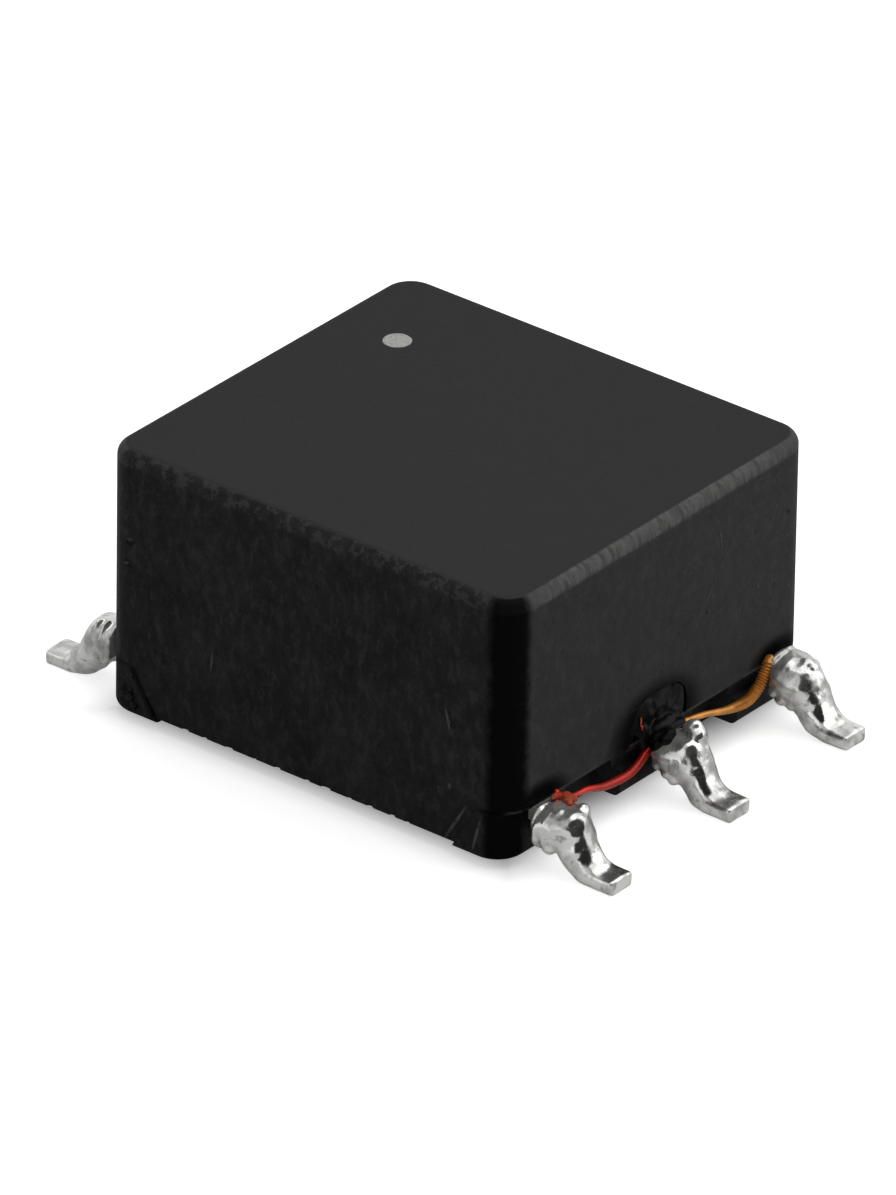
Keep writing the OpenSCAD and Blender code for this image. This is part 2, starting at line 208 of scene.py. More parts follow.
class Graph:
    """A node tree whose nodes are written as expressions."""

    def __init__(self, owner):
        owner.use_nodes = True
        self.tree = owner.node_tree
        self.tree.nodes.clear()

    def feed(self, socket, value):
        if isinstance(value, Socket):
            self.tree.links.new(value.out, socket)
        elif socket.type == "RGBA" and len(value) == 3:
            socket.default_value = (*value, 1)
        else:
            socket.default_value = value

    def node(self, kind, choices=None, inputs=None, out=0):
        """Adds a node, sets its choices and then the values or links of its sockets; gives one output."""
        made = self.tree.nodes.new(kind)
        for name, value in (choices or {}).items():
            setattr(made, name, value)
        for name, value in (inputs or {}).items():
            self.feed(made.inputs[name], value)
        return Socket(self, made.outputs[out])

    def split(self, vector):
        """The three parts of a vector."""
        return [self.node("ShaderNodeSeparateXYZ", {}, {0: vector}, out=k) for k in range(3)]

    def seen(self):
        """1 for what the eye, a reflection or a clear solid shows, and 0 for what lights the part."""
        eye, glossy, clear = (self.node("ShaderNodeLightPath", out=name)
                              for name in ("Is Camera Ray", "Is Glossy Ray", "Is Transmission Ray"))
        return eye.most(glossy).most(clear)


class Recipe(Graph):
    """A material written as expressions; place is in millimetres, as the part is measured."""

    def __init__(self, name, **shader):
        self.material = bpy.data.materials.new(name)
        super().__init__(self.material)
        self.shader = self.tree.nodes.new("ShaderNodeBsdfPrincipled")
        self.surface = self.tree.nodes.new("ShaderNodeOutputMaterial")
        self.tree.links.new(self.shader.outputs[0], self.surface.inputs["Surface"])
        self.set(**shader)
        here = self.node("ShaderNodeTexCoord", out="Object")
        self.place = self.node("ShaderNodeVectorMath", {"operation": "SCALE"}, {0: here, "Scale": 1 / MM})
        self.x, self.y, self.z = self.split(self.place)

    def set(self, **values):
        for name, value in values.items():
            self.feed(self.shader.inputs[name.replace("_", " ")], value)

    def noise(self, scale, detail=2.0, rough=0.5, at=None):
        return self.node("ShaderNodeTexNoise", {}, {"Vector": at or self.place, "Scale": scale,
                                                    "Detail": detail, "Roughness": rough})

    def cells(self, scale):
        return self.node("ShaderNodeTexVoronoi", {}, {"Vector": self.place, "Scale": scale}, out="Distance")

    def stretched(self, scale, turn=(0, 0, 0)):
        """The place scaled along each axis, for a pattern drawn out or squeezed, and then turned."""
        return self.node("ShaderNodeMapping", {}, {"Vector": self.place, "Rotation": turn, "Scale": scale})

    def mix(self, share, a, b):
        """Colour a where share is 0 and b where it is 1."""
        return self.node("ShaderNodeMix", {"data_type": "RGBA"}, {0: share, 6: a, 7: b}, out=2)

    def bump(self, height, depth):
        """Normal of a surface raised by height times depth millimetres."""
        return self.node("ShaderNodeBump", {}, {"Height": height, "Distance": depth * MM, "Strength": 1.0})


def tint(c, factor):
    return tuple(min(1.0, v * factor) for v in c)


def squared(v):
    return v * v


# ---------- finishes ----------

# Marks on the front wall, and on the right end wall: place along it and height of the middle, half width
# and half height, and lean along the wall per height
FRONT_MARKS = [(-3.05, 2.76, 0.045, 0.028, 0), (-2.96, 2.70, 0.022, 0.036, 0), (-3.09, 2.40, 0.034, 0.024, 0),
               (2.44, 2.02, 0.026, 0.16, -0.25), (2.49, 1.02, 0.030, 0.050, 0), (2.30, 0.90, 0.020, 0.055, 0),
               (2.59, 0.49, 0.034, 0.31, 0.57), (3.00, 0.49, 0.028, 0.27, 0.25),
               (-1.60, 1.42, 0.020, 0.15, 0.1)]
END_MARKS = [(1.02, 2.46, 0.016, 0.90, 0.76), (1.26, 3.22, 0.026, 0.12, -0.1), (2.36, 3.05, 0.018, 0.28, 0.6),
             (3.02, 1.72, 0.040, 0.10, 0), (2.10, 2.15, 0.022, 0.05, 0)]

FACE_SKIN = 0.02  # depth below a face that still counts as its surface
SHADE_Y, SHADE_Z = -0.1, 0.95  # middle of the painted shade round a slot
SLOT_SHADE = (1.25, 0.62)  # squared half width and half height of the painted shade round a slot
PIN_SHADE = (0.5, 0.16)  # the same round a terminal
HAIR_LEAN = radians(41)  # lean of the fine scratches across the end walls
EDGE_BAND = (0.25, 0.15)  # depths below the top between which the rubbed upper edge begins
BARE_Y = 3.4  # distance from the middle at which that edge is no longer rubbed bare
PAINTED_DARK_CORNER_SPAN = (5.4, 5.9)  # x - y between which the painted dark reflection on the front right upright corner begins
CRUMB_L = (0.75, 0.45)  # lengths of the crumbled corner of the left foot: faint, and strong
DOT_RAGGED, DOT_BLUR = 0.02, 0.006  # unevenness and softness of the dot's edge


def painted_shade_halo(r):
    """Painted shade round the wire slot in each end wall, and round the terminals."""
    from_slot = squared(r.y - SHADE_Y) / SLOT_SHADE[0] + squared(r.z - SHADE_Z) / SLOT_SHADE[1]
    from_pins = squared(abs(r.y) - PITCH) / PIN_SHADE[0] + squared(r.z - PARTING_Z) / PIN_SHADE[1]
    return (1 - from_slot.step(0.3, 1.05)).most(1 - from_pins.step(0.2, 1.0))


def single_marks(r):
    """The marks listed for the front wall and the right end wall."""
    marks = 0.0
    for along, on_wall, listed in ((r.x, r.y.step(0.1 - SIDE_Y, -SIDE_Y), FRONT_MARKS),
                                   (r.y, r.x.step(WALL_X - 0.1, WALL_X - FACE_SKIN), END_MARKS)):
        for middle, height, wide, high, lean in listed:
            up = r.z - height
            spread = ((along - middle - up * lean) / wide) ** 2 + (up / high) ** 2
            marks = (spread.step(1.6, 0.3) * on_wall).most(marks)
    return marks


def printed_dot(r, look):
    """The orientation dot with its slightly ragged edge and thin ink."""
    away = (squared(r.x - look.dot_x / MM) + squared(r.y - look.dot_y / MM)) ** 0.5
    edge = look.dot_d / MM / 2
    dot = (away + (r.noise(16, 2) - 0.5) * DOT_RAGGED).step(edge + DOT_BLUR, edge - DOT_BLUR)
    return dot * (0.72 + r.noise(26, 3, 0.7).step(0.36, 0.62) * 0.28)


def moulded_finish(look):
    """Black moulding: smooth top with a pale dot, mottled sides, rubbed edges, faint scratches, and painted
    light: lighter end walls, a dark front right corner, shade round the slots and terminals, a highlight
    along the end walls' lower edge.
    """
    r = Recipe("moulded_black", Specular_IOR_Level=0.02)
    # patterns all over
    blotch, mottle, grain = r.noise(1.7, 4, 0.6), r.noise(7, 4, 0.65), r.noise(34, 3, 0.6)
    flecks = r.noise(17, 3, 0.55).step(0.60, 0.72)
    specks = r.noise(17, 3, 0.6).step(0.34, 0.28)
    streaks = r.noise(1.0, 3, 0.6, at=r.stretched((8.0, 6.0, 4.2)))
    # parts of the surface: the top, the end walls, the rounded upper edge and the upright corners
    top = r.z.step(HEIGHT - 0.02, HEIGHT - 0.004)
    ends = (abs(r.x) - abs(r.y)).step(0.0, 0.1)
    on_end = abs(r.x).step(WALL_X - 0.2, WALL_X - FACE_SKIN)
    band = r.z.step(HEIGHT - EDGE_BAND[0], HEIGHT - EDGE_BAND[1]) * (1 - top)
    corner = (abs(r.x) - (WALL_X - CORNER_R)).least(abs(r.y) - (SIDE_Y - CORNER_R))
    corner = (corner + (mottle - 0.5) * 0.16).step(-0.03, 0.15) * (1 - top)
    # painted dark reflection: near black on the front right upright corner, slightly darker on the other
    # upright corners
    painted_dark_corner = (r.x - r.y).step(*PAINTED_DARK_CORNER_SPAN) * 0.92 + (1 - band) * 0.05
    # wear: the rubbed upper edge, barest on the end walls
    rubbed = band * (0.12 + ends * 0.75 + mottle.step(0.48, 0.58) * 0.55)
    rub = r.noise(1.0, 3, 0.6, at=r.stretched((4.0, 9.0, 1.5)))
    bare = ends * rub.step(0.30, 0.62) * (BARE_Y - abs(r.y)).step(0, 1.6)
    bare = r.mix(bare, tint(look.wear_and_painted_light, 1.25), tint(look.wear_and_painted_light, 2.3))
    # painted shade round the slot and the terminals on the end walls
    shade_halo = painted_shade_halo(r) * on_end
    # fine scratches across the end walls, and flecks towards their back and top
    hair = r.noise(1.0, 2, 0.5, at=r.stretched((1.0, 0.55, 22.0), (HAIR_LEAN, 0, 0))).step(0.70, 0.74)
    hair = hair * abs(r.x).step(WALL_X - 0.1, WALL_X - FACE_SKIN)
    fine = r.noise(13, 3, 0.6).step(0.60, 0.70) * (r.y + r.z).step(1.0, 6.0) * ends
    # painted highlight: a broken pale line where the end walls end above the terminals
    painted_edge_highlight = r.z.step(PARTING_Z + 0.055, PARTING_Z + 0.02) * r.z.step(PARTING_Z - 0.02, PARTING_Z) * on_end
    painted_edge_highlight = painted_edge_highlight * r.noise(3, 2).step(0.42, 0.6)
    # crumbly moulding on the front of the left foot
    crumb = r.x.step(CRUMB_L[0] - WALL_X, CRUMB_L[1] - WALL_X) * r.z.step(PARTING_Z + 0.1, PARTING_Z - 0.1)
    crumb = crumb * (-1 * r.y).step(SIDE_Y - 0.2, SIDE_Y - 0.1)
    marks = single_marks(r) * mottle.step(0.25, 0.50)
    # the sides' colour, from the moulding itself up to what lies on it, and the painted light and shade
    sides = r.mix(blotch.step(0.35, 0.7), tint(look.sides, 0.85), tint(look.sides, 1.25))
    # painted light: the end walls painted lighter than the side walls, lighter still towards +Y as a painted
    # sheen
    for share, over in ((ends * (0.46 + r.y.step(-3, 3) * 0.14), look.wear_and_painted_light),
                        (flecks * (0.30 + crumb * 0.4), look.wear_and_painted_light),
                        (mottle.step(0.52, 0.72) * (0.22 + crumb * 0.2), look.wear_and_painted_light),
                        (streaks.step(0.50, 0.68) * (0.30 + ends * 0.15), look.wear_and_painted_light),
                        (streaks.step(0.46, 0.32) * (0.40 - ends * 0.28), tint(look.sides, 0.5)),
                        (fine * 0.5, tint(look.wear_and_painted_light, 1.4)),
                        (specks * 0.6, tint(look.sides, 0.25)),
                        (rubbed.least(1.0) * 0.9, bare),
                        # painted dark reflection on the front right upright corner, a little painted shade on
                        # the other upright corners
                        (corner * painted_dark_corner, tint(look.sides, 0.06)),
                        # painted shade round the slots and the terminals
                        ((shade_halo * (0.7 + blotch * 0.6)).least(1.0), tint(look.sides, 0.12)),
                        # fine scratches, and the painted highlight along the end walls' lower edge
                        ((hair * 0.35 + painted_edge_highlight * 0.9).least(1.0), look.wear_and_painted_light),
                        (marks * 0.8, tint(look.wear_and_painted_light, 1.7))):
        sides = r.mix(share, sides, over)
    face = r.mix(grain.step(0.35, 0.7) * 0.35, look.top, tint(look.top, 1.15))
    face = r.mix(printed_dot(r, look) * top, face, look.dot)
    relief = grain * 0.30 + mottle * (0.7 + crumb * 5) * (1 - top * 0.92)
    relief = relief + flecks * 0.25 - specks * 0.4 * (1 - top)
    r.set(Base_Color=r.mix(top, sides, face),
          Roughness=(0.44 + mottle * 0.14 + top * 0.12 + shade_halo * 0.12 + crumb * 0.1).least(1.0),
          Normal=r.bump(relief - hair * 0.4 + marks * 1.5, 0.02))
    return r.material


# Distances out from the middle between which the flux makes the solder darker, and heights between which
# the tin on a foot grows duller
FLUX_X = (4.30, 3.85)
DULL_Z = (0.30, 0.20)


def solder_finish(look):
    """Bright solder: metal with a clouded skin, partly its own uneven tone and partly painted reflection,
    with dark patches of painted reflection, darker where flux dried on it, duller on the feet.
    """
    r = Recipe("bright_solder", Specular_IOR_Level=0.5)
    cloud, ripple_and_dark_reflection = r.noise(2.6, 3, 0.55), r.noise(6.5, 3, 0.5)
    speck = r.noise(40, 2, 0.6).step(0.64, 0.75)
    foot, near = r.z.step(*DULL_Z), abs(r.x).step(*FLUX_X)
    # painted reflection: the clouded tone and the darkest patches stand in for dark surroundings mirrored in
    # the solder, on top of its own uneven tone
    tone = r.mix(cloud.step(0.42, 0.66), tint(look.tin, 1.15), tint(look.tin, 0.62))
    r.set(Base_Color=r.mix(ripple_and_dark_reflection.step(0.58, 0.70) * 0.6, tone, tint(look.tin, 0.25)),
          Roughness=0.11 + cloud.step(0.4, 0.8) * 0.14 + foot * 0.12 + speck * 0.15 + near * 0.07,
          Metallic=1 - near * (0.24 + cloud.step(0.35, 0.65) * 0.22),
          Normal=r.bump(ripple_and_dark_reflection + speck * 0.05, 0.008))
    return r.material


VARNISH_BLACK = (0.003, 0.003, 0.003)
VARNISH_DUST = (0.010, 0.0095, 0.009)
VARNISH_HIGHLIGHT = (0.11, 0.11, 0.105)
HIGHLIGHT_Y, HIGHLIGHT_Z, HIGHLIGHT_SLOPE = 0.14, 0.80, 0.14  # middle and slope of the painted highlight, a pale line on the varnish


def varnish_finish():
    """Black varnish that seals the slot, half glossy, with dust in it and a painted highlight, a pale line
    below the slot.
    """
    r = Recipe("black_varnish", Specular_IOR_Level=0.10)
    dust, wave = r.noise(24, 3, 0.6).step(0.6, 0.72), r.noise(6, 2)
    # painted highlight: the pale line of the end wall's lower edge carried across the varnish
    line = abs(r.z - HIGHLIGHT_Z - r.y * HIGHLIGHT_SLOPE).step(0.05, 0.015)
    line = line * abs(r.y - HIGHLIGHT_Y).step(0.34, 0.22) * abs(r.x).step(WALL_X, WALL_X + 0.1)
    dark = r.mix(dust * 0.4, VARNISH_BLACK, VARNISH_DUST)
    r.set(Base_Color=r.mix(line * 0.65, dark, VARNISH_HIGHLIGHT),
          Roughness=0.28 + wave * 0.2 + dust * 0.2, Normal=r.bump(wave + dust * 0.2, 0.02))
    return r.material


def enamel_finish(name, enamel):
    """Glossy enamelled wire, a little darker and lighter along its length."""
    r = Recipe(name, Coat_Roughness=0.10, Specular_IOR_Level=0.4, Coat_Weight=0.25, Metallic=0.35)
    shade, scuff = r.noise(2.4, 3, 0.6), r.noise(22, 3, 0.6)
    r.set(Base_Color=r.mix(shade.step(0.3, 0.75), tint(enamel, 0.7), tint(enamel, 1.3)),
          Roughness=0.26 + scuff * 0.16, Normal=r.bump(scuff, 0.004))
    return r.material


SCORCHED = (0.52, 0.13, 0.06)


def tuft_finish(name, enamel):
    """Scorched insulation: the enamel's colour gone paler and matt."""
    r = Recipe(name + "_scorched", Specular_IOR_Level=0.3)
    burnt, fluff = r.noise(11, 3, 0.6), r.noise(38, 3, 0.7)
    r.set(Base_Color=r.mix(burnt.step(0.35, 0.65), tint(enamel, 0.9), SCORCHED),
          Roughness=0.55 + fluff * 0.3, Normal=r.bump(fluff, 0.014))
    return r.material


def ferrite_finish(look):
    """Sintered ferrite with a fine grain and small pale grinding marks."""
    r = Recipe("sintered_ferrite", Specular_IOR_Level=0.45)
    grain, cloud = r.noise(30, 3, 0.6), r.noise(2, 3)
    r.set(Base_Color=r.mix(grain.step(0.4, 0.7) * 0.7, look.ferrite, tint(look.ferrite, 1.9)),
          Roughness=0.48 + cloud * 0.2, Normal=r.bump(grain, 0.006))
    return r.material


def silicone_finish(look):
    """Cured white silicone, a little waxy, with trapped bubbles."""
    r = Recipe("cured_silicone", Subsurface_Weight=0.1, Subsurface_Scale=0.3 * MM)
    cloud, bubbles = r.noise(2.5, 3), r.cells(6).step(0.16, 0.08)
    shade = (cloud * 0.5 + bubbles * 0.3).least(1.0)
    r.set(Base_Color=r.mix(shade, look.silicone, tint(look.silicone, 0.75)),
          Roughness=0.34 + cloud * 0.2, Normal=r.bump(cloud - bubbles * 0.4, 0.03))
    return r.material


# ---------- modelling by hand ----------

LUMP_WAVES = 7  # how many waves a millimetre the unevenness of a bead has


def put_down():
    """Leaves edit mode and lets go of everything."""
    if bpy.context.object and bpy.context.object.mode != "OBJECT":
        bpy.ops.object.mode_set(mode="OBJECT")
    bpy.ops.object.select_all(action="DESELECT")


def take_up(*objs):
    """Makes these objects the only ones in hand, the first of them the active one."""
    put_down()
    for o in objs:
        o.select_set(True)
    bpy.context.view_layer.objects.active = objs[0]
    return objs[0]


def settle(obj):
    """Puts an object's place, turn and size into its mesh."""
    take_up(obj)
    bpy.ops.object.transform_apply(location=True, rotation=True, scale=True)
    return obj


def joined(*objs):
    take_up(*objs)
    if len(objs) > 1:
        bpy.ops.object.join()
    return bpy.context.object


def modify(obj, kind, **choices):
    """Adds a modifier, sets it up and applies it."""
    take_up(obj)
    m = obj.modifiers.new(kind.title(), kind)
    for name, value in choices.items():
        setattr(m, name, value)
    bpy.ops.object.modifier_apply(modifier=m.name)
    return obj


def smoothed(obj, angle=32):
    take_up(obj)
    bpy.ops.object.shade_smooth_by_angle(angle=radians(angle))
    return obj


def merged_copy(node):
    """A copy of a node's solid, in millimetres, with its loose triangles welded."""
    put_down()
    copy = bpy.data.objects.new(node + "_copy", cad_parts[node].data.copy())
    bpy.context.scene.collection.objects.link(copy)
    copy.data.transform(Matrix.Scale(1 / MM, 4))
    copy.data.materials.clear()
    take_up(copy)
    bpy.ops.object.mode_set(mode="EDIT")
    bpy.ops.mesh.select_all(action="SELECT")
    bpy.ops.mesh.customdata_custom_splitnormals_clear()
    bpy.ops.mesh.remove_doubles(threshold=0.0004)
    bpy.ops.mesh.dissolve_degenerate(threshold=0.0002)
    bpy.ops.object.mode_set(mode="OBJECT")
    return copy


def finish_piece(obj, name, slot, material, *nodes):
    """Brings a piece into the frame in metres, dresses it and puts it in place of its nodes."""
    put_down()
    obj.data.transform(Matrix.Scale(MM, 4))
    obj.name = obj.data.name = name
    obj.data.materials.clear()
    obj.data.materials.append(material)
    for p in obj.data.polygons:
        p.material_index = 0
    if nodes:
        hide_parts(*nodes)
    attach(obj, BODY)
    return obj


def lump(at, size, seed, turn=(0, 0, 0), rough=0.12, rings=3):
    """A small uneven bead at a place, with its three radii."""
    bpy.ops.mesh.primitive_ico_sphere_add(subdivisions=rings, radius=1.0, location=at, rotation=turn,
                                          scale=size)
    bead = settle(bpy.context.object)
    middle = Vector(at)
    for v in bead.data.vertices:
        out = v.co - middle
        v.co += out * rough * noise.noise(v.co * LUMP_WAVES + Vector((seed, 0, 0)))
    return bead


def lumps(listed, seed, rough):
    """A bead for each place and radii listed, no two uneven in the same way."""
    return [lump(at, size, seed * k, rough=rough) for k, (at, size) in enumerate(listed)]


def melted(parts, voxel, rounds):
    """Pieces run together into one smooth skin."""
    obj = joined(*parts)
    modify(obj, "REMESH", mode="VOXEL", voxel_size=voxel)
    return modify(obj, "SMOOTH", factor=0.5, iterations=rounds)


def turned_over(obj):
    """Moves what was made on the right to its opposite place on the left."""
    obj.data.transform(Matrix.Rotation(pi, 4, "Z"))
    return obj


def ramp(past, width):
    """0 up to a place and 1 from width past it, with a straight rise between."""
    return min(1.0, max(0.0, past / width))


# ---------- moulding ----------

# Pits in the sides: the face's axis and side, place along the face, height, and size against the usual
PITS = [
    ("y", -1, -3.01, 2.73, 1.0), ("y", -1, -3.06, 2.43, 0.8), ("y", -1, -2.42, 1.12, 0.7),
    ("y", -1, -0.62, 2.72, 0.4), ("y", -1, 1.96, 2.08, 0.5), ("y", -1, 2.52, 1.98, 0.9),
    ("x", 1, 2.72, 3.02, 0.5), ("x", 1, 0.98, 2.22, 0.4),
    ("y", 1, -1.85, 2.42, 0.7), ("y", 1, 0.92, 1.46, 0.8), ("y", 1, 2.32, 3.12, 0.6),
    ("y", 1, -2.62, 1.32, 0.7),
    ("x", -1, 1.42, 2.82, 0.6), ("x", -1, -2.12, 2.02, 0.7), ("x", -1, 2.42, 1.46, 0.5),
    # crumbled front of the left foot, whose face stands out further: side 0
    ("y", 0, -3.22, 0.62, 1.1), ("y", 0, -3.04, 0.52, 0.9), ("y", 0, -3.24, 0.38, 0.9),
    ("y", 0, -3.08, 0.30, 1.1), ("y", 0, -2.92, 0.30, 0.8), ("y", 0, -3.12, 0.74, 0.8),
    ("y", 0, -2.98, 0.40, 0.7), ("y", 0, -3.30, 0.52, 0.7),
]
# Chips in the lower rim of both side walls: place along it and size against a usual pit
RIM_Z = 0.18
RIM_CHIPS = [(-2.05, 0.8), (-1.72, 0.6), (-1.30, 0.9), (-0.84, 0.6), (-0.45, 0.8), (0.05, 0.7),
             (0.38, 0.9), (0.80, 0.6), (1.15, 0.8), (1.52, 0.7), (1.78, 0.6)]
PITS += [("y", side, along, RIM_Z, size) for side in (1, -1) for along, size in RIM_CHIPS]
PIT_L, PIT_H, PIT_DEEP = 1.25, 0.95, 0.55  # a pit's half length, half height and depth against its size

WEB_X, WEB_Z = 2.84, 0.44  # middle of a web between two blocks
WEB_SIZE = (0.20, 1.24, 0.86)


class TRANSFORMER_OT_housing(bpy.types.Operator):
    """Refines the black moulding: pitted sides, chipped rims, thin webs and a rubbed, mottled finish with
    painted light and shade
    """
    bl_idname = "transformer.housing"
    bl_label = "Moulded Housing"

    def execute(self, context):
        look = settings().housing
        shell = merged_copy("housing")
        cutters = []
        for n, (axis, side, along, up, size) in enumerate(PITS):
            r = look.pit / MM * size
            wide, high, deep = PIT_L * r, PIT_H * r, PIT_DEEP * r
            if axis == "y":
                face = side * SIDE_Y if side else -ALL_HIGH[1]
                at, radii, turn = (along, face, up), (wide, deep, high), (0, 0.7 * n, 0)
            else:
                at, radii, turn = (side * WALL_X, along, up), (deep, wide, high), (0.7 * n, 0, 0)
            cutters.append(lump(at, radii, 3.1 * n, turn, rough=0.5, rings=2))
        cutter = joined(*cutters)
        modify(shell, "BOOLEAN", operation="DIFFERENCE", object=cutter, solver="EXACT")
        bpy.data.objects.remove(cutter)
        shell = joined(shell, *self.webs())
        smoothed(shell, 30)
        modify(shell, "WEIGHTED_NORMAL", keep_sharp=True, weight=80)
        finish_piece(shell, "moulded_housing", "housing", moulded_finish(look), "housing")
        return {"FINISHED"}

    def webs(self):
        """Thin webs that join the blocks behind the gaps between them."""
        out = []
        for side in (1, -1):
            for row in (0.5, -0.5):
                bpy.ops.mesh.primitive_cube_add(size=1, location=(side * WEB_X, row * PITCH, WEB_Z),
                                                scale=WEB_SIZE)
                web = settle(bpy.context.object)
                out.append(modify(web, "BEVEL", width=0.05, segments=2))
        return out


# ---------- core and adhesive ----------

class TRANSFORMER_OT_core(bpy.types.Operator):
    """Refines the ferrite ring and the silicone that holds it"""
    bl_idname = "transformer.core"
    bl_label = "Ring Core"

    def execute(self, context):
        look = settings().core
        ring = smoothed(merged_copy("core"))
        finish_piece(ring, "ferrite_ring", "ferrite", ferrite_finish(look), "core")
        dab = smoothed(merged_copy("adhesive"), 60)
        finish_piece(dab, "silicone_dab", "adhesive", silicone_finish(look), "adhesive")
        return {"FINISHED"}


# ---------- terminals ----------

# Skin of the leg and foot: inner and outer point of each section as (out, up), half width's share of the
# foot's, and squareness
LEG_SKIN = [
    ((3.900, 0.275), (4.100, 0.960), 1.32, 2.1), ((3.965, 0.210), (4.215, 0.835), 1.24, 2.1),
    ((4.015, 0.155), (4.285, 0.705), 1.17, 2.1), ((4.060, 0.105), (4.337, 0.572), 1.11, 2.2),
    ((4.110, 0.060), (4.388, 0.452), 1.06, 2.4), ((4.170, 0.025), (4.450, 0.350), 1.03, 2.7),
    ((4.270, 0.005), (4.530, 0.275), 1.01, 3.1), ((4.420, 0.000), (4.630, 0.235), 1.00, 3.6),
    ((4.620, 0.000), (4.750, 0.222), 0.99, 4.5), ((4.870, 0.000), (4.874, 0.216), 0.98, 6.0),
    ((4.887, 0.006), (4.887, 0.208), 0.92, 6.0),
]
# Sections of the barrel round a stub: distance out from the wall, and height and width against the barrel's
BARREL_SKIN = [(0.09, 0.70), (0.13, 0.95), (0.22, 1.0), (0.34, 1.0)]
BARREL_SQUARE = 2.1
SKIN_SIDES = 28
CAP_SHARE, CAP_OUT = 0.6, 0.012  # size of the closing face against the first section, and its distance
USUAL_TALL, USUAL_RISE = 0.80, -0.03  # barrel's height against its width, and its middle above the stub's


def squared_off(c, square):
    """A sine or cosine bent outwards, so that a circle grows squarer the higher square is."""
    return abs(c) ** (2 / square) * (1 if c >= 0 else -1)


def solder_skin(look, form):
    """Solder drawn along the strip: a straight cast whose sections are then laid along the leg."""
    barrel, foot = look.barrel / MM, look.foot / MM
    tall, mid = form.get("tall", USUAL_TALL) * barrel, STUB_Z + form.get("rise", USUAL_RISE)
    sections = [((WALL_X + out, mid - share * tall), (WALL_X + out, mid + share * tall), share * barrel,
                 BARREL_SQUARE) for out, share in BARREL_SKIN]
    sections += [(low, high, wide * foot, square) for low, high, wide, square in LEG_SKIN]
    bpy.ops.mesh.primitive_cylinder_add(vertices=SKIN_SIDES, radius=1.0, depth=1.0, end_fill_type="NGON",
                                        location=(-0.5, 0, 0), rotation=(0, pi / 2, 0))
    cast = settle(bpy.context.object)
    take_up(cast)
    bpy.ops.object.mode_set(mode="EDIT")
    bpy.ops.mesh.select_mode(type="FACE")
    bpy.ops.mesh.select_all(action="DESELECT")
    mesh = bmesh.from_edit_mesh(cast.data)
    for f in mesh.faces:
        f.select_set(f.normal.x > 0.9)
    bmesh.update_edit_mesh(cast.data)
    for _ in sections[1:]:
        bpy.ops.mesh.extrude_region_move(TRANSFORM_OT_translate={"value": (1, 0, 0)})
    bpy.ops.object.mode_set(mode="OBJECT")
    for v in cast.data.vertices:
        k = round(v.co.x)
        low, high, wide, square = sections[max(0, k)]
        small, back = (1.0, 0) if k >= 0 else (CAP_SHARE, CAP_OUT)
        a = atan2(v.co.z, v.co.y)
        across, up = squared_off(cos(a), square) * small, squared_off(sin(a), square) * small
        x, z = ((low[n] + high[n]) / 2 + (high[n] - low[n]) / 2 * up for n in (0, 1))
        v.co = (x - back, wide * across, z)
    return modify(cast, "SUBSURF", levels=2, render_levels=2)


